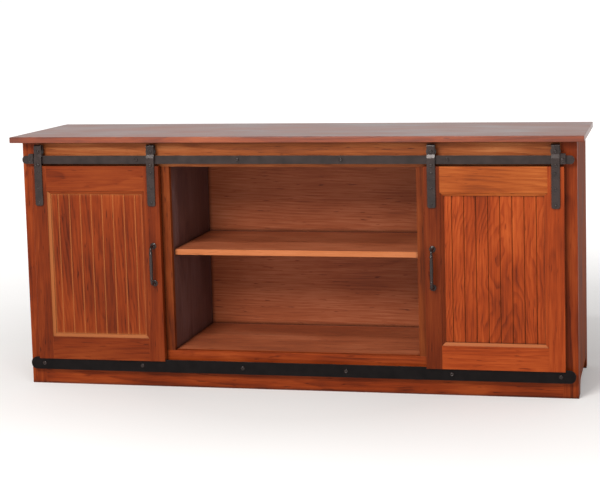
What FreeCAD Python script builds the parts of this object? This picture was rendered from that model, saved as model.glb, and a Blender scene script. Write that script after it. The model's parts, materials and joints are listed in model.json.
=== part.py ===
"""Television stand with two sliding barn doors, as a parametric FreeCAD document.

A wooden case on its own base carries an overhanging top board. Two beadboard doors hang from
grooved wheels that roll on a flat steel track across the front, and a flat steel guide bar runs in a
groove under each door. Millimetres; +X to the right along the front, +Y to the back, +Z up. The
origin is on the floor, in the middle of the whole footprint, handles included.
"""
import FreeCAD, Part
import os
import re

import Sketcher
from FreeCAD import Placement, Rotation, Vector

# Driving dimensions: alias, size, meaning. Each is a plain number in a cell of the sheet Dims.
DIMS = [
    ("top_width", 1829, "top board, end to end"),
    ("top_depth", 470, "top board, front to back"),
    ("total_height", 813, "floor to upper face of the top board"),
    ("board_thickness", 19, "top, sides and partitions"),
    ("edge_round", 2.5, "rounding of the top board's edges"),
    ("front_overhang", 46.5, "top board beyond the face frame"),
    ("side_overhang", 24.5, "top board beyond each side panel"),
    ("frame_thickness", 19, "face frame members"),
    ("outer_stile_width", 48, "face frame, at the ends"),
    ("center_stile_width", 48, "face frame, beside the middle bay"),
    ("center_opening", 796, "clear width of the middle bay"),
    ("top_rail_height", 80, "face frame, under the top board"),
    ("base_rail_height", 120, "face frame, floor to the bay floor"),
    ("bottom_thickness", 18, "bottom panel"),
    ("inner_depth", 405, "face frame front to the back panel"),
    ("back_thickness", 6, "back panel"),
    ("back_rail_height", 70, "rails behind the back panel"),
    ("back_foot", 45, "floor to the lower back rail"),
    ("arch_height", 42, "cut-out under each side panel"),
    ("arch_foot", 42, "side panel left standing at each end of the cut-out"),
    ("arch_round", 36, "upper corners of the cut-out"),
    ("shelf_height", 444, "floor to the upper face of the shelves"),
    ("shelf_thickness", 18, "shelves"),
    ("shelf_setback", 27, "shelf front behind the face frame front"),
    ("shelf_gap", 1, "shelf to wall, all round"),
    ("pin_radius", 2.5, "shelf pins"),
    ("pin_bite", 9, "shelf pin length inside the wall"),
    ("pin_inset", 40, "shelf pin to the shelf's front or back edge"),
    ("cleat_size", 20, "wooden cleats under the top board"),
    ("cleat_gap", 10, "cleat end to the face frame and back panel"),
    ("cleat_screw_inset", 60, "cleat screw to the cleat's end"),
    ("wood_screw_radius", 2, "screws in wood"),
    ("cleat_screw_bite", 13, "cleat screw length in the top board"),
    ("screw_head_radius", 4.5, "heads of the screws in wood"),
    ("screw_head_height", 1.5, "heads of the screws in wood"),
    ("bore_clearance", 0.05, "radial clearance of a pin, screw or bolt in its bore"),
    ("track_drop", 56, "top board's underside to the middle of the track"),
    ("track_height", 26, "track, upper to lower edge"),
    ("bar_thickness", 5, "track and guide bar"),
    ("bar_end_inset", 7, "bar end to the face of the side panel"),
    ("bar_end_flat", 1, "flat left in the middle of a rounded bar end, each way"),
    ("standoff_length", 18, "face frame to track and guide bar"),
    ("standoff_radius", 8, "spacer tubes"),
    ("bar_bolt_radius", 3, "bolts of the track and the guide bar"),
    ("bar_bolt_bite", 16, "bar bolt length in the face frame"),
    ("bar_bolt_count", 6, "bolts in each bar"),
    ("track_bolt_inset", 60, "last track bolt to the face of the side panel"),
    ("guide_bolt_inset", 53, "last guide bolt to the face of the side panel"),
    ("bolt_head_radius", 6.5, "domed bolt heads"),
    ("bolt_head_height", 3, "domed bolt heads"),
    ("guide_height", 40, "guide bar, upper to lower edge"),
    ("guide_center", 72, "floor to the middle of the guide bar"),
    ("guide_overlap", 4, "guide bar inside the door's groove"),
    ("guide_headroom", 5, "groove above the guide bar"),
    ("guide_play", 1.7, "groove beside the guide bar, each side"),
    ("tread_radius", 12.5, "wheel, where it rolls"),
    ("flange_height", 2.5, "wheel flange beyond the tread"),
    ("flange_thickness", 1.5, "wheel flange"),
    ("wheel_side_play", 0.6, "wheel groove beside the track, each side"),
    ("wheel_running_gap", 0.3, "tread to the track's upper edge"),
    ("axle_radius", 3, "wheel axles"),
    ("strap_thickness", 4, "hanger straps"),
    ("strap_width", 25, "hanger straps"),
    ("strap_wheel_gap", 0.5, "strap leg to the wheel, each side"),
    ("strap_crown_gap", 4.2, "wheel to the strap's crown"),
    ("strap_joggle", 3, "lower leg in front of the upper leg"),
    ("joggle_low", 7, "start of the joggle under the track's upper edge"),
    ("joggle_high", 4, "end of the joggle above the track's upper edge"),
    ("strap_drop", 127, "strap on the door's face"),
    ("strap_end_round", 6, "corners of the strap's lower end"),
    ("strap_bend_round", 3, "inside of the strap's bends"),
    ("back_leg_gap", 2, "back leg's end above the track"),
    ("strap_screw_first", 21, "door's upper edge to the first strap screw"),
    ("strap_screw_pitch", 48.5, "strap screw to strap screw"),
    ("strap_screw_count", 3, "screws in each strap"),
    ("strap_screw_bite", 16, "strap screw length in the door"),
    ("lift_pin_radius", 2.5, "anti-lift pin under the track"),
    ("lift_pin_gap", 1, "anti-lift pin to the track and to the door"),
    ("lift_pin_past", 1.4, "anti-lift pin beyond the back of the track"),
    ("stop_width", 16, "end stops, along the track"),
    ("stop_thickness", 10, "end stops, in front of the track"),
    ("stop_gap", 2, "end stop to the strap with the door shut"),
    ("stop_nose", 7, "end stop above the track"),
    ("stop_relief", 3, "nose in front of the track's face"),
    ("stop_round", 2, "front corners of the end stops"),
    ("door_lap_outer", 10, "door over the outer stile"),
    ("door_lap_inner", 22, "door over the center stile"),
    ("door_thickness", 20, "door frame"),
    ("door_stile_width", 50, "flat of a door stile"),
    ("door_top_rail", 80, "flat of the door's top rail"),
    ("door_bottom_rail", 74, "flat of the door's bottom rail"),
    ("door_edge_round", 1.5, "rounding of the door's front edges"),
    ("bevel_width", 10, "bevel round the door panel"),
    ("bevel_depth", 5.5, "bevel round the door panel"),
    ("bevel_quirk", 1.5, "step in front of the bevel"),
    ("bevel_lip", 2.5, "edge left on the bevel"),
    ("panel_thickness", 8, "beadboard panel"),
    ("panel_bite", 8, "panel inside the frame's groove"),
    ("panel_play", 1, "groove beyond the panel's edge"),
    ("panel_slack", 0.1, "groove behind the panel"),
    ("vee_count", 8, "vee grooves in a panel"),
    ("vee_width", 4, "vee grooves"),
    ("vee_depth", 2, "vee grooves"),
    ("vee_margin", 25, "first vee groove to the door frame"),
    ("handle_spacing", 120, "handle, post to post"),
    ("handle_reach", 33, "door face to the handle's outer side"),
    ("handle_radius", 5.5, "handle bar"),
    ("handle_bend", 10, "middle line of the handle's bends"),
    ("handle_screw_bite", 6, "handle screw length in the post"),
    ("rosette_radius", 10, "handle rosettes"),
    ("rosette_height", 3, "handle rosettes"),
]

# Fits: alias and formula, worked out from the driving dimensions in a second sheet.
FITS = [
    ("case_half", "top_width / 2 - side_overhang"),
    ("case_top", "total_height - board_thickness"),
    ("body_depth", "top_depth - front_overhang"),
    ("side_inner", "case_half - board_thickness"),
    ("bay_half", "center_opening / 2"),
    ("partition_outer", "bay_half + board_thickness"),
    ("center_stile_outer", "bay_half + center_stile_width"),
    ("frame_inner", "case_half - outer_stile_width"),
    ("bay_top", "case_top - top_rail_height"),
    ("back_rail_thickness", "body_depth - inner_depth - back_thickness"),
    ("shelf_under", "shelf_height - shelf_thickness"),
    ("shelf_depth", "inner_depth - shelf_setback - shelf_gap"),
    ("pin_height", "shelf_under - pin_radius"),
    ("cleat_length", "inner_depth - frame_thickness - 2 * cleat_gap"),
    ("track_center", "case_top - track_drop"),
    ("track_top", "track_center + track_height / 2"),
    ("track_bottom", "track_center - track_height / 2"),
    ("guide_top", "guide_center + guide_height / 2"),
    ("bar_half", "case_half - bar_end_inset"),
    ("bar_middle", "standoff_length + bar_thickness / 2"),
    ("bar_front", "standoff_length + bar_thickness"),
    ("track_bolt_span", "2 * (case_half - track_bolt_inset)"),
    ("guide_bolt_span", "2 * (case_half - guide_bolt_inset)"),
    ("wheel_half", "bar_thickness / 2 + wheel_side_play + flange_thickness"),
    ("flange_radius", "tread_radius + flange_height"),
    ("axle_height", "track_top + tread_radius + wheel_running_gap"),
    ("strap_inside", "2 * (wheel_half + strap_wheel_gap)"),
    ("door_proud", "bar_middle + strap_inside / 2 + strap_joggle"),
    ("door_outer", "frame_inner + door_lap_outer"),
    ("door_inner", "center_stile_outer - door_lap_inner"),
    ("door_width", "door_outer - door_inner"),
    ("door_bottom", "guide_top - guide_overlap"),
    ("door_top", "track_bottom - 2 * (lift_pin_radius + lift_pin_gap)"),
    ("door_height", "door_top - door_bottom"),
    ("crown_rise", "axle_height + flange_radius + strap_crown_gap - door_top"),
    ("strap_rise", "crown_rise + strap_thickness"),
    ("stile_full", "door_stile_width + bevel_width"),
    ("panel_front", "bevel_depth + bevel_lip"),
    ("vee_span", "door_width - 2 * (stile_full + vee_margin)"),
    ("outer_strap", "door_outer - door_stile_width / 2"),
    ("inner_strap", "door_inner + door_stile_width / 2"),
    ("stop_middle", "outer_strap + strap_width / 2 + stop_gap + stop_width / 2"),
    ("post_spacing", "handle_spacing / 2"),
    ("bar_axis", "handle_reach - handle_radius"),
    ("face_front", "(door_proud + handle_reach - body_depth) / 2"),
    ("door_front", "face_front - door_proud"),
]

SIDES = {"left": -1, "right": 1}
WORD = re.compile(r"[a-z][a-z_]+")
CUT_MARGIN = "1"  # how far a cutting profile stands outside the piece
START = 50  # where a sketch's points lie before the expressions place them

doc = FreeCAD.newDocument("tv_stand")
homes = {}  # alias: the sheet that holds it
nodes = []


# ---- sheets and expressions -------------------------------------------------------------------

def bound(text):
    """The expression with each alias led by the name of the sheet that holds it."""
    def lead(word):
        alias = word.group()
        return f"{homes[alias].Name}.{alias}" if alias in homes else alias
    return WORD.sub(lead, text)


def size(alias):
    """The present value of a named size."""
    return float(getattr(homes[alias], alias))


def fill_sheet(name, rows, lead):
    sheet = doc.addObject("Spreadsheet::Sheet", name)
    for row, (alias, content, *meaning) in enumerate(rows, start=1):
        sheet.set(f"A{row}", meaning[0] if meaning else alias.replace("_", " "))
        sheet.set(f"B{row}", lead + bound(str(content)))
        sheet.setAlias(f"B{row}", alias)
        homes[alias] = sheet
    doc.recompute()


def bind(feature, **sizes):
    for name, text in sizes.items():
        feature.setExpression(name, bound(text))


def place(feature, x, y, z):
    for axis, text in zip("xyz", (x, y, z)):
        feature.setExpression(f"Placement.Base.{axis}", bound(text))


# ---- makers -----------------------------------------------------------------------------------

def keep(feature, label):
    """Names a finished piece and lists it as a node."""
    feature.Label = label
    nodes.append(feature)
    return feature


def board(label, x, y, z, length, depth, height):
    """A plain rectangular board from its lowest corner."""
    box = keep(doc.addObject("Part::Box", label), label)
    bind(box, Length=length, Width=depth, Height=height)
    place(box, x, y, z)
    return box


def body(label, x, y, z):
    piece = doc.addObject("PartDesign::Body", label)
    piece.Label = label
    place(piece, x, y, z)
    return piece


def new_sketch(owner, role):
    """A sketch on one of the body's own origin planes."""
    plane = next(item for item in owner.Origin.OriginFeatures if item.Role == role)
    drawing = owner.newObject("Sketcher::SketchObject", "Sketch")
    drawing.AttachmentSupport = [(plane, "")]
    drawing.MapMode = "FlatFace"
    return drawing


def pin_point(drawing, geometry, point, start, spot):
    """Moves a point of the sketch from its start to the two expressions of spot, and holds it there."""
    for kind, first, text in zip(("DistanceX", "DistanceY"), start, spot):
        rule = drawing.addConstraint(Sketcher.Constraint(kind, -1, 1, geometry, point, first))
        drawing.setExpression(f"Constraints[{rule}]", bound(text))


def polygon(owner, role, corners):
    """A closed outline; it starts as points on a ring, which the expressions then move into place."""
    drawing = new_sketch(owner, role)
    starts = [Rotation(Vector(0, 0, 1), 360 * index / len(corners)).multVec(Vector(START, 0, 0))
              for index in range(len(corners))]
    for start, end in zip(starts, starts[1:] + starts[:1]):
        drawing.addGeometry(Part.LineSegment(start, end), False)
    for index, (start, corner) in enumerate(zip(starts, corners)):
        drawing.addConstraint(
            Sketcher.Constraint("Coincident", index, 2, (index + 1) % len(corners), 1))
        pin_point(drawing, index, 1, start, corner)
    return drawing


def rectangle(owner, role, low, high):
    return polygon(owner, role, [low, (high[0], low[1]), high, (low[0], high[1])])


def circles(owner, role, spots, radius):
    drawing = new_sketch(owner, role)
    for number, spot in enumerate(spots, start=1):
        center = Vector(START * number, START, 0)
        index = drawing.addGeometry(Part.Circle(center, Vector(0, 0, 1), 1), False)
        pin_point(drawing, index, 3, center, spot)
        rule = drawing.addConstraint(Sketcher.Constraint("Radius", index, 1))
        drawing.setExpression(f"Constraints[{rule}]", bound(radius))
    return drawing


def pad(owner, profile, length, side="One side", backwards=False):
    feature = owner.newObject("PartDesign::Pad", "Pad")
    feature.Profile = profile
    feature.SideType = side
    feature.Reversed = backwards
    bind(feature, Length=length)
    doc.recompute()
    return feature


def cut(owner, profile, depth=None, backwards=False):
    """A pocket: right through, both ways from the sketch, or to a depth. It has to remove something."""
    before = owner.Shape.Volume
    feature = owner.newObject("PartDesign::Pocket", "Pocket")
    feature.Profile = profile
    if depth is None:
        feature.SideType = "Symmetric"
        feature.Type = "ThroughAll"
    else:
        feature.Reversed = backwards
        bind(feature, Length=depth)
    doc.recompute()
    if not owner.Shape.Volume < before:
        raise RuntimeError(f"a cut in {owner.Label} removes nothing")
    return feature


def in_row(owner, feature, axis, length, count, backwards=False):
    """Repeats a feature evenly over a length, along an axis of its own sketch."""
    pattern = owner.newObject("PartDesign::LinearPattern", "Row")
    pattern.Originals = [feature]
    pattern.Direction = (feature.Profile[0], [axis])
    pattern.Reversed = backwards
    bind(pattern, Length=length, Occurrences=count)
    owner.Tip = pattern
    doc.recompute()
    return pattern


def soften(owner, radius, chosen):
    """Fillets the edges whose middle point and direction satisfy chosen."""
    base = owner.Tip
    names = []
    for index, edge in enumerate(base.Shape.Edges, start=1):
        middle = edge.valueAt((edge.FirstParameter + edge.LastParameter) / 2)
        ends = edge.Vertexes[-1].Point - edge.Vertexes[0].Point
        if chosen(middle, ends):
            names.append(f"Edge{index}")
    feature = owner.newObject("PartDesign::Fillet", "Fillet")
    feature.Base = (base, names)
    bind(feature, Radius=radius)
    doc.recompute()
    return feature


def near(first, second):
    return abs(first - second) < 0.01


def turned(label, x, y, z, half_profile, along="Y"):
    """A turned piece: a half profile of (radius, distance along the axis) swept once round."""
    piece = body(label, x, y, z)
    role = {"Y": "XY_Plane", "Z": "XZ_Plane"}[along]
    profile = polygon(piece, role, half_profile)
    feature = piece.newObject("PartDesign::Revolution", "Revolution")
    feature.Profile = profile
    feature.ReferenceAxis = (profile, ["V_Axis"])
    feature.Angle = 360
    doc.recompute()
    return piece


def group(label, members):
    """Identical pieces that share one node."""
    compound = doc.addObject("Part::Compound", label)
    compound.Links = members
    return keep(compound, label)


def span(side, near_edge, far_edge):
    """The lower X of a piece that lies between two distances from the middle."""
    return near_edge if side > 0 else f"-({far_edge})"


def headed(head_radius, head_height, shank_radius, length, tail_radius=None, tail="0"):
    """Half profile of a domed bolt: head in front of the origin, shank behind it, and a riveted tail."""
    outline = [("0", f"-({head_height})"), (f"{head_radius} * 0.6", f"-({head_height})"),
               (head_radius, f"-({head_height}) * 0.4"), (head_radius, "0"), (shank_radius, "0"),
               (shank_radius, length)]
    if tail_radius:
        outline += [(tail_radius, length), (tail_radius, f"{length} + {tail}"), ("0", f"{length} + {tail}")]
    else:
        outline.append(("0", length))
    return outline


# ---- case -------------------------------------------------------------------------------------

def cleat_screw_spots():
    """Distance from the middle of the stand and from the face frame's front, for each cleat screw."""
    across = "(side_inner - cleat_size / 2)"
    front = "frame_thickness + cleat_gap + cleat_screw_inset"
    rear = "inner_depth - cleat_gap - cleat_screw_inset"
    return [(f"{side} * {across}", depth) for side in SIDES.values() for depth in (front, rear)]


def make_top_board():
    top = body("top_board", "-top_width / 2", "face_front - front_overhang", "case_top")
    pad(top, rectangle(top, "XY_Plane", ("0", "0"), ("top_width", "top_depth")), "board_thickness")
    soften(top, "edge_round", lambda middle, ends: True)
    spots = [(f"top_width / 2 + {x}", f"front_overhang + {y}") for x, y in cleat_screw_spots()]
    holes = circles(top, "XY_Plane", spots, "wood_screw_radius + bore_clearance")
    cut(top, holes, "cleat_screw_bite + bore_clearance", backwards=True)
    keep(top, "top_board")


def make_side_panel(name, side):
    """Drawn on its inner face, so that the shelf pin holes start there; the lower edge is cut out."""
    panel = body(f"{name}_side_panel", f"{side} * side_inner", "face_front", "0")
    front = "frame_thickness"
    outline = [(front, "0"), (f"{front} + arch_foot", "0"), (f"{front} + arch_foot", "arch_height"),
               ("body_depth - arch_foot", "arch_height"), ("body_depth - arch_foot", "0"),
               ("body_depth", "0"), ("body_depth", "case_top"), (front, "case_top")]
    pad(panel, polygon(panel, "YZ_Plane", outline), "board_thickness", backwards=side < 0)
    soften(panel, "arch_round",
           lambda middle, ends: near(middle.z, size("arch_height")) and abs(ends.x) > 1)
    holes = circles(panel, "YZ_Plane", pin_spots(), "pin_radius + bore_clearance")
    cut(panel, holes, "pin_bite + bore_clearance", backwards=side > 0)
    keep(panel, f"{name}_side_panel")


def pin_spots():
    """Shelf pins on a wall: distance behind the face frame's front, and height."""
    front = "shelf_setback + pin_inset"
    rear = "shelf_setback + shelf_depth - pin_inset"
    return [(front, "pin_height"), (rear, "pin_height")]


def make_partition(name, side):
    wall = body(f"{name}_partition", f"{side} * bay_half", "face_front", "0")
    profile = rectangle(wall, "YZ_Plane", ("frame_thickness", "base_rail_height"),
                        ("inner_depth", "case_top"))
    pad(wall, profile, "board_thickness", backwards=side < 0)
    cut(wall, circles(wall, "YZ_Plane", pin_spots(), "pin_radius + bore_clearance"))
    keep(wall, f"{name}_partition")


def make_shelf(label, x, length):
    board(label, f"{x} + shelf_gap", "face_front + shelf_setback", "shelf_under",
          f"{length} - 2 * shelf_gap", "shelf_depth", "shelf_thickness")


def make_shelf_pins():
    """Two pins in each wall of each bay, half in the wall and half under the shelf."""
    pins = []
    walls = ["bay_half", "partition_outer", "side_inner"]
    for side in SIDES.values():
        for wall in walls:
            for depth, height in pin_spots():
                pin = doc.addObject("Part::Cylinder", "pin")
                bind(pin, Radius="pin_radius", Height="2 * pin_bite")
                pin.Placement = Placement(Vector(), Rotation(Vector(0, 1, 0), 90))
                place(pin, f"{side} * {wall} - pin_bite", f"face_front + {depth}", height)
                pins.append(pin)
    group("shelf_pins", pins)


def make_case():
    make_top_board()
    for name, side in SIDES.items():
        make_side_panel(name, side)
        make_partition(name, side)
        board(f"{name}_outer_stile", span(side, "frame_inner", "case_half"), "face_front", "0",
              "outer_stile_width", "frame_thickness", "case_top")
        board(f"{name}_center_stile", span(side, "bay_half", "center_stile_outer"), "face_front",
              "base_rail_height", "center_stile_width", "frame_thickness", "bay_top - base_rail_height")
        make_shelf(f"{name}_shelf", span(side, "partition_outer", "side_inner"),
                   "(side_inner - partition_outer)")
    make_shelf("center_shelf", "-bay_half", "2 * bay_half")
    make_shelf_pins()
    board("bottom_panel", "-side_inner", "face_front + frame_thickness",
          "base_rail_height - bottom_thickness", "2 * side_inner", "inner_depth - frame_thickness",
          "bottom_thickness")
    board("back_panel", "-side_inner", "face_front + inner_depth", "back_foot", "2 * side_inner",
          "back_thickness", "case_top - back_foot")
    for label, height in (("back_rail_top", "case_top - back_rail_height"), ("back_rail_bottom", "back_foot")):
        board(label, "-side_inner", "face_front + inner_depth + back_thickness", height,
              "2 * side_inner", "back_rail_thickness", "back_rail_height")


def make_cleats():
    """Cleats along the side panels, each screwed up into the top board."""
    cleats = []
    for side in SIDES.values():
        cleat = body("cleat", span(side, "side_inner - cleat_size", "side_inner"), "face_front",
                     "case_top - cleat_size")
        front = "frame_thickness + cleat_gap"
        pad(cleat, rectangle(cleat, "XY_Plane", ("0", front), ("cleat_size", f"{front} + cleat_length")),
            "cleat_size")
        spots = [("cleat_size / 2", f"{front} + cleat_screw_inset"),
                 ("cleat_size / 2", f"{front} + cleat_length - cleat_screw_inset")]
        cut(cleat, circles(cleat, "XY_Plane", spots, "wood_screw_radius + bore_clearance"))
        cleats.append(cleat)
    group("top_cleats", cleats)
    shank = headed("screw_head_radius", "screw_head_height", "wood_screw_radius",
                   "cleat_size + cleat_screw_bite")
    screws = [turned("cleat_screw", x, f"face_front + {y}", "case_top - cleat_size", shank, along="Z")
              for x, y in cleat_screw_spots()]
    group("cleat_screws", screws)


# ---- track and guide bar ----------------------------------------------------------------------

def make_frame_rail(label, low, height, bolt_span, bolt_height):
    """A face frame rail between the outer stiles, with the pilot holes of its bar's bolts."""
    rail = body(label, "0", "face_front", "0")
    profile = rectangle(rail, "XZ_Plane", ("-frame_inner", low), ("frame_inner", f"{low} + {height}"))
    pad(rail, profile, "frame_thickness", backwards=True)
    first = [(f"-({bolt_span}) / 2", bolt_height)]
    hole = cut(rail, circles(rail, "XZ_Plane", first, "bar_bolt_radius + bore_clearance"),
               "bar_bolt_bite + bore_clearance")
    in_row(rail, hole, "H_Axis", bolt_span, "bar_bolt_count")
    keep(rail, label)


def make_bar(label, height, center, bolt_span, extra_holes):
    """A flat steel bar with rounded ends in front of the face frame."""
    bar = body(label, "0", "face_front - bar_front", center)
    profile = rectangle(bar, "XZ_Plane", ("-bar_half", f"-({height}) / 2"), ("bar_half", f"{height} / 2"))
    pad(bar, profile, "bar_thickness", backwards=True)
    soften(bar, f"{height} / 2 - bar_end_flat", lambda middle, ends: abs(ends.y) > 1)
    radius = "bar_bolt_radius + bore_clearance"
    hole = cut(bar, circles(bar, "XZ_Plane", [(f"-({bolt_span}) / 2", "0")], radius))
    in_row(bar, hole, "H_Axis", bolt_span, "bar_bolt_count")
    if extra_holes:
        cut(bar, circles(bar, "XZ_Plane", extra_holes, radius))
    keep(bar, label)


def make_bar_fixings(name, center, bolt_span):
    """The spacer tubes and bolts that hold a bar off the face frame."""
    start = f"-({bolt_span}) / 2"
    bore = "bar_bolt_radius + bore_clearance"
    tube = [(bore, "0"), ("standoff_radius", "0"), ("standoff_radius", "standoff_length"),
            (bore, "standoff_length")]
    spacers = turned(f"{name}_standoffs", start, "face_front - standoff_length", center, tube)
    in_row(spacers, spacers.Tip, "H_Axis", bolt_span, "bar_bolt_count")
    keep(spacers, f"{name}_standoffs")
    shank = headed("bolt_head_radius", "bolt_head_height", "bar_bolt_radius", "bar_front + bar_bolt_bite")
    bolts = turned(f"{name}_bolts", start, "face_front - bar_front", center, shank)
    in_row(bolts, bolts.Tip, "H_Axis", bolt_span, "bar_bolt_count")
    keep(bolts, f"{name}_bolts")


def make_end_stops():
    """A block at each end of the track whose nose catches the hanger strap, and its bolt."""
    half = "track_height / 2"
    outline = [("0", f"1 - {half}"), ("0", half), ("-stop_relief", half),
               ("-stop_relief", f"{half} + stop_nose"), ("-stop_thickness", f"{half} + stop_nose"),
               ("-stop_thickness", f"1 - {half}")]
    shank = headed("bolt_head_radius", "bolt_head_height", "bar_bolt_radius",
                   "stop_thickness + bar_thickness", "bolt_head_radius - 1", "bolt_head_height")
    bolts = []
    for name, side in SIDES.items():
        stop = body(f"{name}_end_stop", f"{side} * stop_middle", "face_front - bar_front", "track_center")
        pad(stop, polygon(stop, "YZ_Plane", outline), "stop_width", side="Symmetric")
        soften(stop, "stop_round",
               lambda middle, ends: near(middle.y, -size("stop_thickness")) and abs(ends.z) > 1)
        cut(stop, circles(stop, "XZ_Plane", [("0", "0")], "bar_bolt_radius + bore_clearance"))
        keep(stop, f"{name}_end_stop")
        bolts.append(turned("stop_bolt", f"{side} * stop_middle",
                            "face_front - bar_front - stop_thickness", "track_center", shank))
    group("end_stop_bolts", bolts)


def make_bars():
    make_frame_rail("face_top_rail", "bay_top", "top_rail_height", "track_bolt_span", "track_center")
    make_frame_rail("face_base_rail", "0", "base_rail_height", "guide_bolt_span", "guide_center")
    stop_holes = [(f"{side} * stop_middle", "0") for side in SIDES.values()]
    make_bar("track_rail", "track_height", "track_center", "track_bolt_span", stop_holes)
    make_bar("guide_bar", "guide_height", "guide_center", "guide_bolt_span", [])
    make_bar_fixings("track", "track_center", "track_bolt_span")
    make_bar_fixings("guide", "guide_center", "guide_bolt_span")
    make_end_stops()


# ---- doors ------------------------------------------------------------------------------------
# Each door piece is drawn from the door's lower outer front corner; inward is the sign of X from
# the outer edge towards the middle of the stand.

def door_body(label, side):
    return body(label, f"{side} * door_outer", "door_front", "door_bottom")


def guide_groove(piece):
    middle = "(door_proud - bar_middle)"
    half = "(bar_thickness / 2 + guide_play)"
    profile = rectangle(piece, "YZ_Plane", (f"{middle} - {half}", f"-{CUT_MARGIN}"),
                        (f"{middle} + {half}", "guide_overlap + guide_headroom"))
    cut(piece, profile)


def edge_cuts(piece, role, spot):
    """The bevel and the panel groove along an inner edge. spot turns (distance past the member's
    flat, depth behind the door's face) into coordinates of the sketch."""
    past = f"bevel_width + {CUT_MARGIN}"
    bevel = [("0", "bevel_quirk"), ("bevel_width", "bevel_depth"), (past, "bevel_depth"),
             (past, f"-{CUT_MARGIN}"), ("0", f"-{CUT_MARGIN}")]
    start = "bevel_width - panel_bite - panel_play"
    back = "panel_front + panel_thickness + panel_slack"
    groove = [(start, "panel_front"), (past, "panel_front"), (past, back), (start, back)]
    for outline in (bevel, groove):
        cut(piece, polygon(piece, role, [spot(*corner) for corner in outline]))


def make_door_stile(label, side, inner):
    """A full-height stile whose inner edge is mitred into the rails' bevels."""
    inward = -side
    piece = door_body(label, side)

    def across(distance):
        from_outer = f"door_width - ({distance})" if inner else distance
        return f"{inward} * ({from_outer})"

    low = "door_bottom_rail"
    high = "door_height - door_top_rail"
    outline = [("0", "0"), ("door_stile_width", "0"), ("door_stile_width", low),
               ("stile_full", f"{low} + bevel_width"), ("stile_full", f"{high} - bevel_width"),
               ("door_stile_width", high), ("door_stile_width", "door_height"), ("0", "door_height")]
    pad(piece, polygon(piece, "XZ_Plane", [(across(x), z) for x, z in outline]), "door_thickness",
        backwards=True)
    outer = size("door_width") if inner else 0
    soften(piece, "door_edge_round",
           lambda middle, ends: near(middle.y, 0) and (near(abs(middle.x), outer) or near(middle.z, 0)
                                                       or near(middle.z, size("door_height"))))
    edge_cuts(piece, "XY_Plane", lambda past, depth: (across(f"door_stile_width + {past}"), depth))
    guide_groove(piece)
    strap_line = across("door_stile_width / 2")
    screws = [(strap_line, f"door_height - strap_screw_first - {index} * strap_screw_pitch")
              for index in range(round(size("strap_screw_count")))]
    cut(piece, circles(piece, "XZ_Plane", screws, "wood_screw_radius + bore_clearance"),
        "strap_screw_bite + bore_clearance")
    if inner:
        posts = [(strap_line, f"door_height / 2 + {end} * post_spacing") for end in (-1, 1)]
        cut(piece, circles(piece, "XZ_Plane", posts, "wood_screw_radius + bore_clearance"))
    keep(piece, label)


def make_door_rail(label, side, top):
    """A rail between the stiles' flats, mitred into the stiles' bevels."""
    inward = -side
    piece = door_body(label, side)

    def height(distance):
        return f"door_height - ({distance})" if top else distance

    flat = "door_top_rail" if top else "door_bottom_rail"
    far = "door_width - "
    outline = [("door_stile_width", "0"), (far + "door_stile_width", "0"),
               (far + "door_stile_width", flat), (far + "stile_full", f"{flat} + bevel_width"),
               ("stile_full", f"{flat} + bevel_width"), ("door_stile_width", flat)]
    corners = [(f"{inward} * ({x})", height(z)) for x, z in outline]
    pad(piece, polygon(piece, "XZ_Plane", corners), "door_thickness", backwards=True)
    edge = size("door_height") if top else 0
    soften(piece, "door_edge_round", lambda middle, ends: near(middle.y, 0) and near(middle.z, edge))
    edge_cuts(piece, "YZ_Plane", lambda past, depth: (depth, height(f"{flat} + {past}")))
    if not top:
        guide_groove(piece)
    keep(piece, label)


def make_door_panel(label, side):
    """A beadboard panel held in the frame's grooves."""
    inward = -side
    piece = body(label, f"{side} * door_outer", "door_front + panel_front", "door_bottom")
    edge = "stile_full - panel_bite"
    low = "door_bottom_rail + bevel_width - panel_bite"
    high = "door_height - door_top_rail - bevel_width + panel_bite"
    profile = rectangle(piece, "XZ_Plane", (f"{inward} * ({edge})", low),
                        (f"{inward} * (door_width - ({edge}))", high))
    pad(piece, profile, "panel_thickness", backwards=True)
    first = "stile_full + vee_margin"
    notch = [(f"{first} - vee_width / 2", "0"), (first, "vee_depth"), (f"{first} + vee_width / 2", "0"),
             (f"{first} + vee_width / 2", f"-{CUT_MARGIN}"), (f"{first} - vee_width / 2", f"-{CUT_MARGIN}")]
    groove = cut(piece, polygon(piece, "XY_Plane", [(f"{inward} * ({x})", y) for x, y in notch]))
    in_row(piece, groove, "H_Axis", "vee_span", "vee_count", backwards=inward < 0)
    keep(piece, label)


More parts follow.
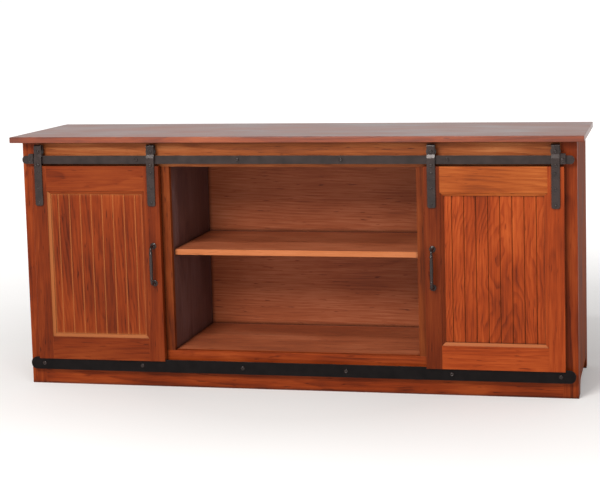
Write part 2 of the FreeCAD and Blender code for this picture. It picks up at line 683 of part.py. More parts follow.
def make_strap(label, side, middle):
    """A flat steel hanger: it lies on the door, steps back to clear the wheel, and bends over it."""
    strap = body(label, f"{side} * {middle}", "door_front", "door_top")
    face = "-strap_thickness"
    step = "(strap_joggle - strap_thickness)"
    back_leg = "(strap_joggle + strap_inside)"
    low = "track_top - joggle_low - door_top"
    high = "track_top + joggle_high - door_top"
    leg_end = "track_top + back_leg_gap - door_top"
    outline = [(face, "-strap_drop"), (face, low), (step, high), (step, "strap_rise"),
               (f"{back_leg} + strap_thickness", "strap_rise"),
               (f"{back_leg} + strap_thickness", leg_end), (back_leg, leg_end),
               (back_leg, "crown_rise"), ("strap_joggle", "crown_rise"), ("strap_joggle", high),
               ("0", low), ("0", "-strap_drop")]
    pad(strap, polygon(strap, "YZ_Plane", outline), "strap_width", side="Symmetric")
    soften(strap, "strap_bend_round + strap_thickness",
           lambda middle, ends: near(middle.z, size("strap_rise")) and abs(ends.x) > 1)
    soften(strap, "strap_bend_round",
           lambda middle, ends: near(middle.z, size("crown_rise")) and abs(ends.x) > 1)
    soften(strap, "strap_end_round",
           lambda middle, ends: near(middle.z, -size("strap_drop")) and abs(ends.y) > 1)
    cut(strap, circles(strap, "XZ_Plane", [("0", "axle_height - door_top")],
                       "axle_radius + bore_clearance"))
    cut(strap, circles(strap, "XZ_Plane", [("0", "lift_pin_gap + lift_pin_radius")],
                       "lift_pin_radius + bore_clearance"))
    screws = [("0", f"-strap_screw_first - {index} * strap_screw_pitch")
              for index in range(round(size("strap_screw_count")))]
    cut(strap, circles(strap, "XZ_Plane", screws, "wood_screw_radius + bore_clearance"))
    keep(strap, label)


def make_wheel(label, side, middle):
    """A grooved wheel whose tread rolls on the track's upper edge."""
    half = "wheel_half"
    groove = "wheel_half - flange_thickness"
    bore = "axle_radius + bore_clearance"
    outline = [(bore, f"-{half}"), ("flange_radius", f"-{half}"), ("flange_radius", f"-({groove})"),
               ("tread_radius", f"-({groove})"), ("tread_radius", groove), ("flange_radius", groove),
               ("flange_radius", half), (bore, half)]
    keep(turned(label, f"{side} * {middle}", "face_front - bar_middle", "axle_height", outline), label)


def make_hanger_fixings(name, side):
    """The axles, anti-lift pins and wood screws of a door's two straps."""
    axle = headed("bolt_head_radius - 1", "bolt_head_height", "axle_radius",
                  "strap_inside + 2 * strap_thickness", "axle_radius + 2", "2")
    lift_pin = headed("bolt_head_radius - 1", "bolt_head_height", "lift_pin_radius",
                      "door_proud + strap_thickness - standoff_length + lift_pin_past")
    screw = headed("screw_head_radius", "screw_head_height", "wood_screw_radius",
                   "strap_thickness + strap_screw_bite")
    axles, pins, screws = [], [], []
    for middle in ("outer_strap", "inner_strap"):
        x = f"{side} * {middle}"
        axles.append(turned("axle", x, "door_front + strap_joggle - strap_thickness", "axle_height", axle))
        pins.append(turned("lift_pin", x, "door_front - strap_thickness",
                           "door_top + lift_pin_gap + lift_pin_radius", lift_pin))
        column = turned("strap_screw", x, "door_front - strap_thickness",
                        "door_top - strap_screw_first", screw)
        in_row(column, column.Tip, "N_Axis", "strap_screw_pitch * (strap_screw_count - 1)",
               "strap_screw_count", backwards=True)
        screws.append(column)
    group(f"{name}_door_axles", axles)
    group(f"{name}_door_lift_pins", pins)
    group(f"{name}_door_strap_screws", screws)


def handle_rod(x, y, z, radius, length, turn):
    rod = doc.addObject("Part::Cylinder", "rod")
    bind(rod, Radius=radius, Height=length)
    rod.Placement = Placement(Vector(), turn)
    place(rod, x, y, z)
    return rod


def make_handle(name, side):
    """A bow pull: two posts, two quarter bends and a straight bar, hollow for the screws."""
    x = f"{side} * inner_strap"
    middle = "(door_bottom + door_height / 2)"
    to_front = Rotation(Vector(1, 0, 0), 90)
    solids, bores = [], []
    for end in (-1, 1):
        post_z = f"{middle} + {end} * post_spacing"
        solids.append(handle_rod(x, "door_front - rosette_height", post_z, "handle_radius",
                                 "bar_axis - handle_bend - rosette_height", to_front))
        bend = doc.addObject("Part::Torus", "bend")
        bind(bend, Radius1="handle_bend", Radius2="handle_radius")
        bend.Angle3 = 90
        bend.Placement = Placement(Vector(), Rotation(Vector(0, 0, end), Vector(0, -1, 0), Vector(end, 0, 0)))
        place(bend, x, "door_front - bar_axis + handle_bend", f"{post_z} - {end} * handle_bend")
        solids.append(bend)
        bores.append(handle_rod(x, "door_front - rosette_height + 1", post_z,
                                "wood_screw_radius + bore_clearance",
                                "handle_screw_bite + bore_clearance + 1", to_front))
    solids.append(handle_rod(x, "door_front - bar_axis", f"{middle} - post_spacing + handle_bend",
                             "handle_radius", "2 * (post_spacing - handle_bend)", Rotation()))
    bow = doc.addObject("Part::MultiFuse", "bow")
    bow.Shapes = solids
    drill = doc.addObject("Part::MultiFuse", "drill")
    drill.Shapes = bores
    handle = doc.addObject("Part::Cut", f"{name}_door_handle")
    handle.Base = bow
    handle.Tool = drill
    keep(handle, f"{name}_door_handle")


def make_handle_fixings(name, side):
    x = f"{side} * inner_strap"
    low_post = "door_bottom + door_height / 2 - post_spacing"
    bore = "wood_screw_radius + bore_clearance"
    disc = [(bore, "-rosette_height"), ("rosette_radius - 1", "-rosette_height"),
            ("rosette_radius", "1 - rosette_height"), ("rosette_radius", "0"), (bore, "0")]
    screw = [("0", "screw_head_height"), ("screw_head_radius - 1", "screw_head_height"),
             ("screw_head_radius", "0"), ("wood_screw_radius", "0"),
             ("wood_screw_radius", "-(door_thickness + rosette_height + handle_screw_bite)"),
             ("0", "-(door_thickness + rosette_height + handle_screw_bite)")]
    pieces = (("rosettes", "door_front", disc), ("handle_screws", "door_front + door_thickness", screw))
    for kind, y, outline in pieces:
        label = f"{name}_door_{kind}"
        pair = turned(label, x, y, low_post, outline)
        in_row(pair, pair.Tip, "N_Axis", "handle_spacing", "2")
        keep(pair, label)


def make_door(name, side):
    make_door_stile(f"{name}_door_outer_stile", side, inner=False)
    make_door_stile(f"{name}_door_inner_stile", side, inner=True)
    make_door_rail(f"{name}_door_top_rail", side, top=True)
    make_door_rail(f"{name}_door_bottom_rail", side, top=False)
    make_door_panel(f"{name}_door_panel", side)
    for place_name in ("outer", "inner"):
        make_strap(f"{name}_door_{place_name}_strap", side, f"{place_name}_strap")
        make_wheel(f"{name}_door_{place_name}_wheel", side, f"{place_name}_strap")
    make_hanger_fixings(name, side)
    make_handle(name, side)
    make_handle_fixings(name, side)


# ---- checks and export ------------------------------------------------------------------------

def check_model():
    """Stops before anything is written if a feature failed or a piece has no sound shape."""
    doc.recompute()
    failed = [item.Label for item in doc.Objects if {"Invalid", "Error"} & set(item.State)]
    unsound = [item.Label for item in nodes if item.Shape.isNull() or not item.Shape.isValid()]
    unsolid = [item.Label for item in nodes if not item.Shape.isNull() and not item.Shape.Solids]
    if failed or unsound or unsolid:
        raise RuntimeError(f"failed {failed}, unsound {unsound}, no solid {unsolid}")


def export():
    os.makedirs("parts", exist_ok=True)
    for item in nodes:
        item.Shape.exportStep(f"parts/{item.Label}.step")
        print(f"{item.Label}: {len(item.Shape.Solids)} solid(s), {item.Shape.Volume / 1000:.1f} cm3")


fill_sheet("Dims", DIMS, "")
fill_sheet("Fit", FITS, "=")
make_case()
make_cleats()
make_bars()
for door_name, door_side in SIDES.items():
    make_door(door_name, door_side)
check_model()
export()
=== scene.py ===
"""Looks for a wooden television stand with two sliding doors. Metres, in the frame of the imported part."""
import json
import math
import random

import bmesh
import bpy
from mathutils import Matrix, Vector


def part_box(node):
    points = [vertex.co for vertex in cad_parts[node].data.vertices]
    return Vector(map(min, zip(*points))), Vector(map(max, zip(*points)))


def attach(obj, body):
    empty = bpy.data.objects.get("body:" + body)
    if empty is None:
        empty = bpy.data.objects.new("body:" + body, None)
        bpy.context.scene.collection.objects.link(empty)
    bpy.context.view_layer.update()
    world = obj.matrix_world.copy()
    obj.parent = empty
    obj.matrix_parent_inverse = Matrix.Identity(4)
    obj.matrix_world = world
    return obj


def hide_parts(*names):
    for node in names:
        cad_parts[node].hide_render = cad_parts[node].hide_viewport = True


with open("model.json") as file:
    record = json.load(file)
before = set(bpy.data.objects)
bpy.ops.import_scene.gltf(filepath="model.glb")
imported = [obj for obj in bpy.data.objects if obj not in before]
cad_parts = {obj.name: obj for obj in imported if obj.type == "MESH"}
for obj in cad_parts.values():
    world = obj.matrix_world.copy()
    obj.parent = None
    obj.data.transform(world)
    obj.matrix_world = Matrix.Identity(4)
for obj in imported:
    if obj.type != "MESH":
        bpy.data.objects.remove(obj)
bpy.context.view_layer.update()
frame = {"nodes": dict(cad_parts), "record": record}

SIDES = ("left", "right")

# Camera; angles in degrees
CAMERA_PLACE = (1.185, -4.741, 1.253)
CAMERA_YAW, CAMERA_PITCH, CAMERA_ROLL = 11.34, 6.13, -1.27  # to the left, down, clockwise
CAMERA_LENS = 91.0
CAMERA_SHIFT = (-0.125, -0.16)

# Studio
STUDIO_COLOR = (1.0, 0.99, 0.98)
HORIZON_GLOW, ZENITH_GLOW = 1.05, 0.3
HORIZON_TOP, ZENITH_EDGE = 0.12, 0.6  # heights in the sky between which it dims
FLOOR_REACH = 150.0
NEAR_GLOW, FAR_GLOW = 0.12, 0.85  # of the floor, within NEAR and beyond FAR of the object
NEAR, FAR = 0.5, 3.5
LAMPS = (  # name, place, target, width, height, watts, color
    ("key", (-0.7, -3.5, 2.5), (0.0, 0.0, 0.4), 1.6, 1.0, 130.0, (1.0, 0.97, 0.94)),
    ("overhead", (0.2, -2.0, 3.2), (0.0, -0.2, 0.6), 2.0, 0.12, 34.0, (1.0, 1.0, 1.0)),
)

# Wood: grain runs along X (level) or Z (upright)
LEVEL, UPRIGHT = (0.0, -math.pi / 2, 0.0), (0.0, 0.0, 0.0)
CHERRY = ((0.062, 0.008, 0.002), (0.200, 0.028, 0.004), (0.355, 0.070, 0.013))  # dark to light
CREVICE_SHADE = (0.030, 0.008, 0.004)  # painted shade in corners and grooves
BANDING_AND_HIGHLIGHT = (0.43, 0.15, 0.045)  # banding on a shelf's front, and a painted highlight on bevels and in the left door panel's grooves
INDOOR_PAINTED_LIGHT = (1.65, 3.1, 8.6)  # tint of the boards inside the case: painted light that brightens them against the shade inside, and a painted reflection that greys them
RING_SPACING = 0.010
RING_WANDER, WANDER_SCALE = 0.035, 7.0  # reach and scale of the noise that bends the rings
STAVE_WIDTH = 0.105
EDGE_ROUND = 0.0015
CREVICE = 0.014  # reach of the shade in corners
GRAIN_DEPTH = 0.00012
# Noises in the wood: squeeze along the grain, scale, detail, roughness
STREAKS = (0.02, 85.0, 6.0, 0.8)
FIBRES = (0.03, 420.0, 2.0, 0.5)
BLOTCHES = (0.45, 9.0, 3.0, 0.5)
FIGURE = (0.3, 26.0, 3.0, 0.6)
GUM = (0.1, 210.0, 1.0, 0.5)
# Directions of the paler faces: a shelf's front with its banding, and bevels 4 mm deep and 10 mm wide with
# a painted highlight
FRONT = (0.0, -1.0, 0.0)
BEVEL_SLOPE = math.atan2(4.0, 10.0)
UPWARD_BEVEL = (0.0, -math.cos(BEVEL_SLOPE), math.sin(BEVEL_SLOPE))
RIGHTWARD_BEVEL = (math.sin(BEVEL_SLOPE), -math.cos(BEVEL_SLOPE), 0.0)

# Finish of the metal
BLACK_EDGE, BLACK_PITS = 0.0012, 0.0002  # rounding, depth
ZINC_EDGE, ZINC_LINES = 0.0004, 0.00003
WORN_BLACK = (0.11, 0.10, 0.095)

# Turned and bent metal
RING_STEPS = 48
BOLT_HEAD, SCREW_HEAD, TAIL_HEAD = 0.003, 0.0015, 0.002  # heights
HEX, SQUARE = 6, 4
SOCKET, SHANK = 0.52, 0.45  # shares of a head's radius
HEAD_RIM, HEAD_CROWN = 0.28, 0.62  # shares of a head's height and radius that are straight
ROSE_STEPS = ((1.0, 0.0), (1.0, 0.22), (0.95, 0.36), (0.84, 0.42), (0.81, 0.62), (0.74, 0.80),
              (0.64, 0.90), (0.55, 1.0))  # shares of the radius and of the thickness
GRIP, POST, FLARE, COLLAR = 0.0055, 0.0042, 0.0058, 0.0060  # radii of a handle
HANDLE_BEND = 0.010
FLARE_REACH = 0.003
FOOT_LENGTH = 0.032  # from a handle's end past its bend
COLLAR_PLACES = (0.004, 0.009)  # past the foot
COLLAR_WIDTH = 0.0016
BOW_STEPS, BOW_SIDES = 96, 24
SMOOTH_ANGLE = 38  # degrees


# ---- node trees -------------------------------------------------------------------------------

class Shader:
    """A material with a principled shader, and short calls that add and link nodes."""

    def __init__(self, name):
        self.material = bpy.data.materials.new(name)
        self.material.use_nodes = True
        self.tree = self.material.node_tree
        self.surface = self.tree.nodes["Principled BSDF"]

    def feed(self, socket, value):
        if isinstance(value, bpy.types.NodeSocket):
            self.tree.links.new(value, socket)
        elif socket.type == "RGBA":
            socket.default_value = (*value, 1.0)
        else:
            socket.default_value = value

    def add(self, kind, *inputs, out=0, **options):
        """Adds a node, sets its options, feeds its inputs in order, and returns one of its outputs."""
        made = self.tree.nodes.new("ShaderNode" + kind)
        for name, value in options.items():
            setattr(made, name, value)
        for socket, value in zip(made.inputs, inputs):
            if value is not None:
                self.feed(socket, value)
        return made.outputs[out]

    def finish(self, **inputs):
        """Feeds the surface's sockets by name, with underscores for spaces."""
        for name, value in inputs.items():
            self.feed(self.surface.inputs[name.replace("_", " ")], value)
        return self.material

    def math(self, operation, first, second=0.0):
        return self.add("Math", first, second, operation=operation)

    def vector(self, operation, first, second=(0.0, 0.0, 0.0), out="Vector"):
        return self.add("VectorMath", first, second, operation=operation, out=out)

    def place(self, coordinates, shift=(0.0, 0.0, 0.0), turn=(0.0, 0.0, 0.0), scale=(1.0, 1.0, 1.0)):
        return self.add("Mapping", coordinates, shift, turn, scale)

    def noise(self, place, scale, detail=2.0, roughness=0.5):
        return self.add("TexNoise", place, None, scale, detail, roughness)

    def span(self, value, low, high, to_low=0.0, to_high=1.0):
        return self.add("MapRange", value, low, high, to_low, to_high)

    def blend(self, factor, first, second, kind="MIX"):
        return self.add("MixRGB", factor, first, second, blend_type=kind)

    def ramp(self, factor, *stops):
        color = self.add("ValToRGB", factor)
        points = color.node.color_ramp.elements
        while len(points) < len(stops):
            points.new(1.0)
        for point, (position, tone) in zip(points, stops):
            point.position = position
            point.color = (*tone, 1.0)
        return color

    def rounded_edges(self, radius):
        """A normal that rounds off sharp edges, and a mask that is 1 along them."""
        rounded = self.add("Bevel", radius, samples=4)
        flat = self.add("NewGeometry", out="Normal")
        agreement = self.vector("DOT_PRODUCT", rounded, flat, out="Value")
        return rounded, self.span(agreement, 0.998, 0.90)

    def crevices(self, reach):
        """A mask that is 1 deep in corners and grooves."""
        openness = self.add("AmbientOcclusion", None, reach, out="AO", samples=6)
        return self.span(openness, 0.93, 0.50)

    def bump(self, height, depth, normal, strength):
        made = self.tree.nodes.new("ShaderNodeBump")
        fed = {"Strength": strength, "Distance": depth, "Height": height, "Normal": normal}
        for name, value in fed.items():
            self.feed(made.inputs[name], value)
        return made.outputs[0]


# ---- materials --------------------------------------------------------------------------------

def wood(name, grain, tint, rough=0.42, shine=0.09, coat=0.0, staves=None, pale_face=None, figured=1.0,
         glaze=CREVICE_SHADE, contrast=1.0):
    """Stained, varnished cherry. Faces that point one given way are lighter: a shelf's banding, and
    bevels with a painted highlight. figured is how far the rings wander."""
    shader = Shader(name)
    chance = random.Random(name)
    here = shader.add("TexCoord", out="Object")
    along = shader.place(here, turn=grain)
    if staves:
        along, stave_tone = split_in_staves(shader, along, staves)
    log = shader.place(along, shift=tuple(chance.uniform(3, 9) for _ in range(3)))
    centered = shader.vector("SUBTRACT", along, board_middle(name, grain))
    late_wood = growth_rings(shader, chance, log, centered, figured)

    streaks, fibres, blotches, figure, gum = (
        shader.noise(shader.place(log, scale=(1.0, 1.0, squeeze)), scale, detail, roughness)
        for squeeze, scale, detail, roughness in (STREAKS, FIBRES, BLOTCHES, FIGURE, GUM))
    tone = shader.math("ADD", shader.span(streaks, 0.32, 0.68, -0.17 * contrast, 0.17 * contrast), 0.56)
    tone = shader.math("ADD", tone, shader.span(blotches, 0.3, 0.7, -0.20 * contrast, 0.20 * contrast))
    tone = shader.math("ADD", tone, shader.span(fibres, 0.3, 0.7, -0.09, 0.09))
    tone = shader.math("SUBTRACT", tone, shader.span(gum, 0.68, 0.76, 0.0, 0.35))
    ring_depth = shader.span(figure, 0.3, 0.65, 0.04 * contrast, 0.24 * contrast)
    tone = shader.math("SUBTRACT", tone, shader.math("MULTIPLY", late_wood, ring_depth))
    if staves:
        tone = shader.math("ADD", tone, stave_tone)
    dark, middle, light = CHERRY
    color = shader.ramp(tone, (0.10, dark), (0.50, middle), (0.98, light))
    color = shader.blend(1.0, color, tint, "MULTIPLY")
    # Lighter faces: banding on a shelf's front, and a painted highlight on the chosen bevels
    if pale_face:
        facing = shader.add("TexCoord", out="Normal")
        agreement = shader.vector("DOT_PRODUCT", facing, pale_face, out="Value")
        color = shader.blend(shader.span(agreement, 0.95, 0.97), color, shader.blend(0.5, color, BANDING_AND_HIGHLIGHT))

    rounded, on_edge = shader.rounded_edges(EDGE_ROUND)
    rubbed = shader.math("MULTIPLY", on_edge, shader.span(figure, 0.35, 0.65, 0.1, 0.55))
    color = shader.blend(rubbed, color, tuple(1.25 * part for part in light))
    # Painted shade darkens corners and grooves; on the left door's panel the colour there is light, a
    # painted highlight
    painted_crevice_mask = shader.math("MULTIPLY", shader.crevices(CREVICE), 0.85)
    color = shader.blend(painted_crevice_mask, color, glaze)
    height = shader.math("ADD", shader.math("MULTIPLY", fibres, 0.4), late_wood)
    return shader.finish(
        Base_Color=color,
        Roughness=shader.span(blotches, 0.25, 0.75, rough - 0.05, rough + 0.09),
        Specular_IOR_Level=shine,
        Normal=shader.bump(height, GRAIN_DEPTH, rounded, 0.5),
        Coat_Weight=coat,
        Coat_Roughness=0.1,
    )


def growth_rings(shader, chance, log, centered, figured):
    """A mask of late wood. Each board is a slice of its own log: rings round a heart behind the face,
    slightly tilted, give arches on the faces and rings on the ends."""
    heart = (chance.uniform(-0.05, 0.05), chance.uniform(0.05, 0.11), 0.0)
    tilt = (chance.uniform(-0.03, 0.03), chance.uniform(0.03, 0.07) * chance.choice((-1, 1)), 0.0)
    slice_place = shader.place(centered, shift=heart, turn=tilt)
    noise_place = shader.place(log, scale=(1.0, 1.0, 0.25 * figured))
    wander = shader.add("TexNoise", noise_place, None, WANDER_SCALE, 3.0, out="Color")
    warp = shader.vector("SUBTRACT", wander, (0.5, 0.5, 0.5))
    reach = RING_WANDER * figured
    warped = shader.add("VectorMath", warp, (reach, reach, 0.0), slice_place, operation="MULTIPLY_ADD")
    distance = shader.vector("LENGTH", shader.vector("MULTIPLY", warped, (1.0, 1.0, 0.0)), out="Value")
    rings = shader.math("FRACT", shader.math("DIVIDE", distance, RING_SPACING))
    return shader.math("MULTIPLY", shader.span(rings, 0.35, 0.9), shader.span(rings, 1.0, 0.93))


def board_middle(name, grain):
    """Middle of the named board, in the coordinates that have Z along its grain."""
    if name not in frame["nodes"]:
        return (0.0, 0.0, 0.0)
    low, high = (Vector(corner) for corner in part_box(name))
    turn = Matrix.Rotation(grain[1], 3, "Y")
    return tuple(turn @ ((low + high) / 2))


def split_in_staves(shader, along, axis):
    """Boards glued edge to edge: each stave gets grain and tone of its own."""
    across = shader.add("SeparateXYZ", along, out=axis)
    number = shader.math("FLOOR", shader.math("DIVIDE", across, STAVE_WIDTH))
    value = shader.add("TexWhiteNoise", None, number, out="Value", noise_dimensions="1D")
    shift = shader.vector("MULTIPLY", value.node.outputs["Color"], (0.02, 0.02, 1.7))
    return shader.vector("ADD", along, shift), shader.span(value, 0.0, 1.0, -0.07, 0.07)


def dark_metal(name, tone, roughness, shine=0.4):
    """Black finished steel, finely pitted, with brighter rubbed edges."""
    shader = Shader(name)
    here = shader.add("TexCoord", out="Object")
    mottle = shader.noise(here, 30.0, 3.0, 0.6)
    pits = shader.noise(here, 260.0, 3.0, 0.7)
    rounded, on_edge = shader.rounded_edges(BLACK_EDGE)
    color = shader.ramp(mottle, (0.3, tone), (0.7, tuple(1.9 * part for part in tone)))
    worn = shader.math("MULTIPLY", on_edge, shader.span(mottle, 0.4, 0.7, 0.05, 0.5))
    color = shader.blend(worn, color, WORN_BLACK)
    return shader.finish(
        Base_Color=color,
        Roughness=shader.span(mottle, 0.3, 0.7, roughness - 0.08, roughness + 0.08),
        Normal=shader.bump(pits, BLACK_PITS, rounded, 0.5),
        Metallic=0.2,
        Specular_IOR_Level=shine,
    )


def zinc(name):
    """Plated steel of screws and shelf pins, faintly brushed."""
    shader = Shader(name)
    here = shader.add("TexCoord", out="Object")
    brushing = shader.noise(shader.place(here, scale=(1.0, 0.1, 1.0)), 900.0, 2.0)
    spangle = shader.noise(here, 120.0, 2.0)
    rounded, on_edge = shader.rounded_edges(ZINC_EDGE)
    color = shader.ramp(spangle, (0.3, (0.42, 0.42, 0.40)), (0.7, (0.60, 0.60, 0.57)))
    color = shader.blend(shader.math("MULTIPLY", on_edge, 0.4), color, (0.75, 0.75, 0.72))
    return shader.finish(
        Base_Color=color,
        Roughness=shader.span(brushing, 0.3, 0.7, 0.28, 0.42),
        Normal=shader.bump(brushing, ZINC_LINES, rounded, 0.4),
        Metallic=1.0,
    )


def studio_floor():
    """Pale matt paper that glows more away from the object, to meet the bright horizon."""
    shader = Shader("studio_floor")
    here = shader.add("TexCoord", out="Object")
    cloud = shader.noise(here, 0.6, 2.0)
    away = shader.vector("LENGTH", here, out="Value")
    return shader.finish(
        Base_Color=shader.ramp(cloud, (0.3, (0.66, 0.655, 0.65)), (0.7, (0.70, 0.695, 0.69))),
        Roughness=0.9,
        Emission_Color=STUDIO_COLOR,
        Emission_Strength=shader.span(away, NEAR, FAR, NEAR_GLOW, FAR_GLOW),
    )


# ---- what each node is made of ----------------------------------------------------------------

def dress(node, material):
    """Gives every slot of a node of the part one material."""
    for slot in frame["nodes"][node].material_slots:
        slot.material = material


def board(node, grain, tint=(1.0, 1.0, 1.0), **looks):
    """Dresses a node in wood of its own."""
    dress(node, wood(node, grain, tint, **looks))


def gray(level):
    return (level, level, level)


def dress_case():
    board("top_board", LEVEL, (0.85, 0.95, 0.8), rough=0.36, shine=0.45, coat=0.15, staves="Y")
    for side in SIDES:
        board(f"{side}_side_panel", UPRIGHT, (0.95, 1.15, 0.95), rough=0.6, shine=0.03, staves="Y")
        # Painted shade and reflection: the partitions' tint makes them less red and greyer
        board(f"{side}_partition", UPRIGHT, (0.58, 1.9, 11.0), staves="Y", contrast=0.6)
        board(f"{side}_outer_stile", UPRIGHT, gray(0.9))
        board(f"{side}_center_stile", UPRIGHT, (0.68, 0.85, 0.95))
        board(f"{side}_shelf", LEVEL, INDOOR_PAINTED_LIGHT, pale_face=FRONT, contrast=0.6)
    board("center_shelf", LEVEL, INDOOR_PAINTED_LIGHT, pale_face=FRONT, contrast=0.6)
    # Painted light and sheen: the face rail's tint makes it brighter and greyer
    board("face_top_rail", LEVEL, (1.4, 2.6, 4.8), contrast=0.7)
    for node in ("face_base_rail", "back_rail_top", "back_rail_bottom", "top_cleats"):
        board(node, LEVEL)
    board("bottom_panel", LEVEL, INDOOR_PAINTED_LIGHT, staves="Y", contrast=0.6)
    board("back_panel", LEVEL, INDOOR_PAINTED_LIGHT, contrast=0.45)


def dress_doors():
    """The left door is the darker one; the right one has a dark inner stile, a lighter top rail and a
    wilder panel. The bevels that face up, and the left door's outer one, get a painted highlight."""
    # Bevels that get a painted highlight
    pale = {"left_door_bottom_rail": UPWARD_BEVEL, "right_door_bottom_rail": UPWARD_BEVEL,
            "left_door_outer_stile": RIGHTWARD_BEVEL}
    odd_tints = {"right_door_inner_stile": gray(0.56), "right_door_top_rail": (1.25, 1.8, 2.1)}
    members = {"outer_stile": UPRIGHT, "inner_stile": UPRIGHT, "top_rail": LEVEL, "bottom_rail": LEVEL}
    # Last column: colour painted into corners and grooves, a painted highlight on the left panel and
    # painted shade on the right
    for side, frame_shade, panel_shade, figured, glaze in (("left", 0.71, 0.86, 1.3, BANDING_AND_HIGHLIGHT),
                                                           ("right", 1.2, 1.22, 2.2, CREVICE_SHADE)):
        for member, grain in members.items():
            node = f"{side}_door_{member}"
            tint = odd_tints.get(node, gray(frame_shade))
            board(node, grain, tint, pale_face=pale.get(node), contrast=0.75)
        board(f"{side}_door_panel", UPRIGHT, gray(panel_shade), figured=figured, glaze=glaze)


def dress_metal():
    """Gives the metal nodes their finishes, and returns the finishes by material slot."""
    finishes = {
        "black_metal": dark_metal("black_metal", (0.014, 0.0080, 0.0068), roughness=0.26),
        "wheel_steel": dark_metal("wheel_steel", (0.02, 0.018, 0.017), roughness=0.35),
        "zinc_steel": zinc("zinc_steel"),
    }
    for entry in frame["record"]["subparts"]:
        if entry["material_slot"] in finishes:
            dress(entry["node"], finishes[entry["material_slot"]])
    # Painted shade: the guide bar gets a darker copy of the black metal
    dress("guide_bar", dark_metal("guide_metal_painted_shade", (0.004, 0.003, 0.003), roughness=0.5, shine=0.1))
    dress("track_rail", dark_metal("track_metal", (0.014, 0.0085, 0.0075), roughness=0.36, shine=0.3))
    return finishes


# ---- bolts, screws and handles ----------------------------------------------------------------

def solids_of(node):
    """Lowest and highest corner of each of the separate solids that share a node."""
    mesh = bmesh.new()
    mesh.from_mesh(frame["nodes"][node].data)
    bmesh.ops.remove_doubles(mesh, verts=mesh.verts, dist=1e-6)
    waiting, boxes = set(mesh.verts), []
    while waiting:
        frontier, points = [waiting.pop()], []
        while frontier:
            vertex = frontier.pop()
            points.append(vertex.co.copy())
            linked = {edge.other_vert(vertex) for edge in vertex.link_edges} & waiting
            waiting -= linked
            frontier.extend(linked)
        coordinates = tuple(zip(*points))
        boxes.append([tuple(map(pick, coordinates)) for pick in (min, max)])
    mesh.free()
    return [(Vector(low), Vector(high)) for low, high in sorted(boxes)]


def skin(mesh, rings):
    """Closes a row of vertex rings into a solid with flat ends."""
    for first, second in zip(rings, rings[1:]):
        for index in range(len(first)):
            following = (index + 1) % len(first)
            mesh.faces.new((first[index], first[following], second[following], second[index]))
    mesh.faces.new(rings[0])
    mesh.faces.new(rings[-1])


def turn_solid(mesh, seat, profile):
    """A solid round an axis that points to the front (-Y) from its seat. Each row of the profile is
    a radius, a distance in front of the seat, and a number of flats (0 for round)."""
    rings = []
    for radius, ahead, flats in profile:
        ring = []
        for step in range(RING_STEPS):
            turn = 2 * math.pi * step / RING_STEPS
            reach = radius
            if flats:
                sector = 2 * math.pi / flats
                reach *= math.cos(sector / 2) / math.cos(turn % sector - sector / 2)
            offset = Vector((reach * math.cos(turn), -ahead, reach * math.sin(turn)))
            ring.append(mesh.verts.new(seat + offset))
        rings.append(ring)
    skin(mesh, rings)


def button_head(radius, height, flats):
    """The profile of a domed head with a socket for a key or a driver."""
    dome = [(1.0, 0.0), (1.0, HEAD_RIM)]
    for step in range(1, 7):
        turn = math.radians(12 * step)
        across, up = math.cos(turn), math.sin(turn)
        dome.append((HEAD_CROWN + (1 - HEAD_CROWN) * across, HEAD_RIM + (1 - HEAD_RIM) * up))
    well = [(SOCKET + 0.05, 1.0), (SOCKET, 0.90), (SOCKET, 0.35)]
    return [(radius * part, height * ahead, sides)
            for outline, sides in ((dome, 0), (well, flats)) for part, ahead in outline]


def make_fasteners(node, body, finish, head, flats, tail=0.0):
    """Pieces with socket heads that stand for a node of bolts or screws. tail is the thickness of
    a riveted end."""
    mesh = bmesh.new()
    for low, high in solids_of(node):
        radius = (high.x - low.x) / 2
        seat = Vector(((low.x + high.x) / 2, low.y + head, (low.z + high.z) / 2))
        end = seat.y - high.y
        core = SHANK * radius
        rear = [(core, end, 0)]
        if tail:
            rear = [(0.8 * core, end, 0), (1.5 * core, end + 0.3 * tail, 0), (1.5 * core, end + tail, 0),
                    (core, end + tail, 0)]
        turn_solid(mesh, seat, rear + [(core, 0.0, 0)] + button_head(radius, head, flats))
    finish_piece(node + "_turned", mesh, body, node, finish)


def make_roses(side, finish):
    """Stepped round plates under the ends of a handle."""
    node = f"{side}_door_rosettes"
    mesh = bmesh.new()
    for low, high in solids_of(node):
        radius, thick = (high.x - low.x) / 2, high.y - low.y
        seat = Vector(((low.x + high.x) / 2, high.y, (low.z + high.z) / 2))
        turn_solid(mesh, seat, [(radius * part, thick * ahead, 0) for part, ahead in ROSE_STEPS])
    finish_piece(node + "_turned", mesh, f"{side}_door", node, finish)


def bow_radius(walked, length):
    """Radius of a handle at a distance along it: flared feet, collars past the bends, a full grip."""
    to_end = min(walked, length - walked)
    foot = (FLARE - POST) * math.exp(-((to_end / FLARE_REACH) ** 2))
    past_foot = to_end - FOOT_LENGTH
    collar = sum(math.exp(-(((past_foot - place) / COLLAR_WIDTH) ** 2)) for place in COLLAR_PLACES)
    swell = max(0.0, min(1.0, past_foot / (length / 2 - FOOT_LENGTH)))
    core = POST + (GRIP - POST) * math.sin(math.pi / 2 * swell)
    return core + foot + (COLLAR - POST) * 0.8 * min(1.0, collar)


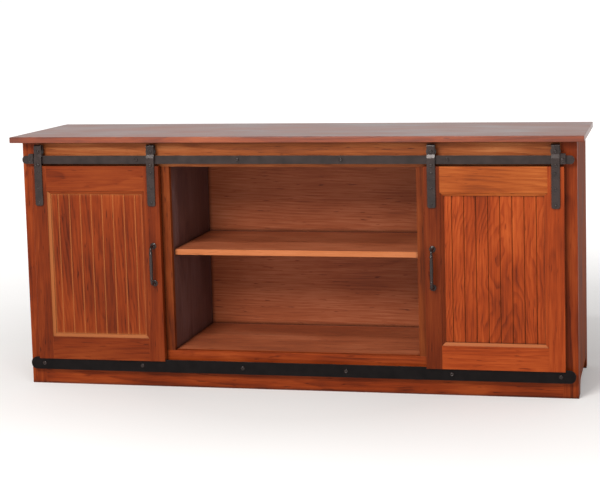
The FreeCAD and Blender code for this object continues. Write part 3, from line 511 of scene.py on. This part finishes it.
def make_handle(side, finish):
    """A bow: a post, a quarter bend, the grip, a second bend and post, swept as one skin."""
    node = f"{side}_door_handle"
    low, high = (Vector(corner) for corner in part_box(node))
    thickness = high.x - low.x
    x = (low.x + high.x) / 2
    front, foot = low.y + COLLAR, high.y
    bottom, top = low.z + thickness / 2, high.z - thickness / 2
    post = foot - front - HANDLE_BEND
    arc = HANDLE_BEND * math.pi / 2
    grip = top - bottom - 2 * HANDLE_BEND
    length = 2 * (post + arc) + grip
    mesh = bmesh.new()
    rings = []
    for step in range(BOW_STEPS + 1):
        walked = length * step / BOW_STEPS
        to_end = min(walked, length - walked)
        if to_end < post:
            turn, y, z = 0.0, foot - to_end, 0.0
        elif to_end < post + arc:
            turn = (to_end - post) / HANDLE_BEND
            y = front + HANDLE_BEND * (1 - math.sin(turn))
            z = HANDLE_BEND * (1 - math.cos(turn))
        else:
            turn, y, z = math.pi / 2, front, HANDLE_BEND + to_end - post - arc
        upper = walked > length / 2
        center = Vector((x, y, top - z if upper else bottom + z))
        outward = Vector((0.0, -math.sin(turn), (1 if upper else -1) * math.cos(turn)))
        radius = bow_radius(walked, length)
        ring = []
        for index in range(BOW_SIDES):
            angle = 2 * math.pi * index / BOW_SIDES
            across = Vector((math.cos(angle), 0.0, 0.0))
            ring.append(mesh.verts.new(center + radius * (across + math.sin(angle) * outward)))
        rings.append(ring)
    skin(mesh, rings)
    finish_piece(node + "_bow", mesh, f"{side}_door", node, finish)


def finish_piece(name, mesh, body, node, material):
    """Turns a mesh into a shaded piece that rides on a body and stands for a node."""
    bmesh.ops.recalc_face_normals(mesh, faces=mesh.faces)
    data = bpy.data.meshes.new(name)
    mesh.to_mesh(data)
    mesh.free()
    data.shade_smooth()
    data.set_sharp_from_angle(angle=math.radians(SMOOTH_ANGLE))
    data.materials.append(material)
    piece = bpy.data.objects.new(name, data)
    bpy.context.scene.collection.objects.link(piece)
    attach(piece, body)
    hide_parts(node)


def make_hardware(finishes):
    black, plated = finishes["black_metal"], finishes["zinc_steel"]
    for node in ("track_bolts", "guide_bolts"):
        make_fasteners(node, "cabinet", black, BOLT_HEAD, HEX)
    make_fasteners("end_stop_bolts", "cabinet", black, BOLT_HEAD, HEX, tail=BOLT_HEAD)
    for side in SIDES:
        door = f"{side}_door"
        make_fasteners(f"{door}_axles", door, black, BOLT_HEAD, HEX, tail=TAIL_HEAD)
        make_fasteners(f"{door}_lift_pins", door, black, BOLT_HEAD, HEX)
        make_fasteners(f"{door}_strap_screws", door, black, SCREW_HEAD, SQUARE)
        make_fasteners(f"{door}_handle_screws", door, plated, SCREW_HEAD, SQUARE)
        make_roses(side, black)
        make_handle(side, black)


# ---- studio -----------------------------------------------------------------------------------

def make_floor():
    mesh = bpy.data.meshes.new("floor")
    reach = FLOOR_REACH
    corners = [(-reach, -reach, 0.0), (reach, -reach, 0.0), (reach, reach, 0.0), (-reach, reach, 0.0)]
    mesh.from_pydata(corners, [], [(0, 1, 2, 3)])
    mesh.materials.append(studio_floor())
    floor = bpy.data.objects.new("floor", mesh)
    bpy.context.scene.collection.objects.link(floor)


def make_lamp(name, place, target, width, height, power, color):
    light = bpy.data.lights.new(name, "AREA")
    light.shape = "RECTANGLE"
    light.size, light.size_y = width, height
    light.energy = power
    light.color = color
    lamp = bpy.data.objects.new(name, light)
    bpy.context.scene.collection.objects.link(lamp)
    lamp.location = place
    lamp.rotation_mode = "QUATERNION"
    lamp.rotation_quaternion = (Vector(target) - Vector(place)).to_track_quat("-Z", "Y")


def make_sky():
    """Bright at the horizon, dimmer overhead."""
    world = bpy.data.worlds.new("studio")
    world.use_nodes = True
    nodes, links = world.node_tree.nodes, world.node_tree.links
    direction = nodes.new("ShaderNodeTexCoord")
    parts = nodes.new("ShaderNodeSeparateXYZ")
    glow = nodes.new("ShaderNodeMapRange")
    for name, value in (("From Min", HORIZON_TOP), ("From Max", ZENITH_EDGE),
                        ("To Min", HORIZON_GLOW), ("To Max", ZENITH_GLOW)):
        glow.inputs[name].default_value = value
    backdrop = nodes["Background"]
    backdrop.inputs["Color"].default_value = (*STUDIO_COLOR, 1.0)
    links.new(direction.outputs["Generated"], parts.inputs[0])
    links.new(parts.outputs["Z"], glow.inputs["Value"])
    links.new(glow.outputs[0], backdrop.inputs["Strength"])
    bpy.context.scene.world = world


def make_camera():
    data = bpy.data.cameras.new("camera")
    data.lens = CAMERA_LENS
    data.shift_x, data.shift_y = CAMERA_SHIFT
    data.clip_start, data.clip_end = 0.05, 4 * FLOOR_REACH
    camera = bpy.data.objects.new("camera", data)
    bpy.context.scene.collection.objects.link(camera)
    turns = ((CAMERA_YAW, "Z"), (90 - CAMERA_PITCH, "X"), (CAMERA_ROLL, "Z"))
    facing = Matrix.Identity(3)
    for angle, axis in turns:
        facing = facing @ Matrix.Rotation(math.radians(angle), 3, axis)
    camera.rotation_mode = "QUATERNION"
    camera.rotation_quaternion = facing.to_quaternion()
    camera.location = CAMERA_PLACE
    bpy.context.scene.camera = camera


dress_case()
dress_doors()
make_hardware(dress_metal())
make_floor()
for lamp in LAMPS:
    make_lamp(*lamp)
make_sky()
make_camera()
bpy.context.scene.view_settings.view_transform = "Standard"
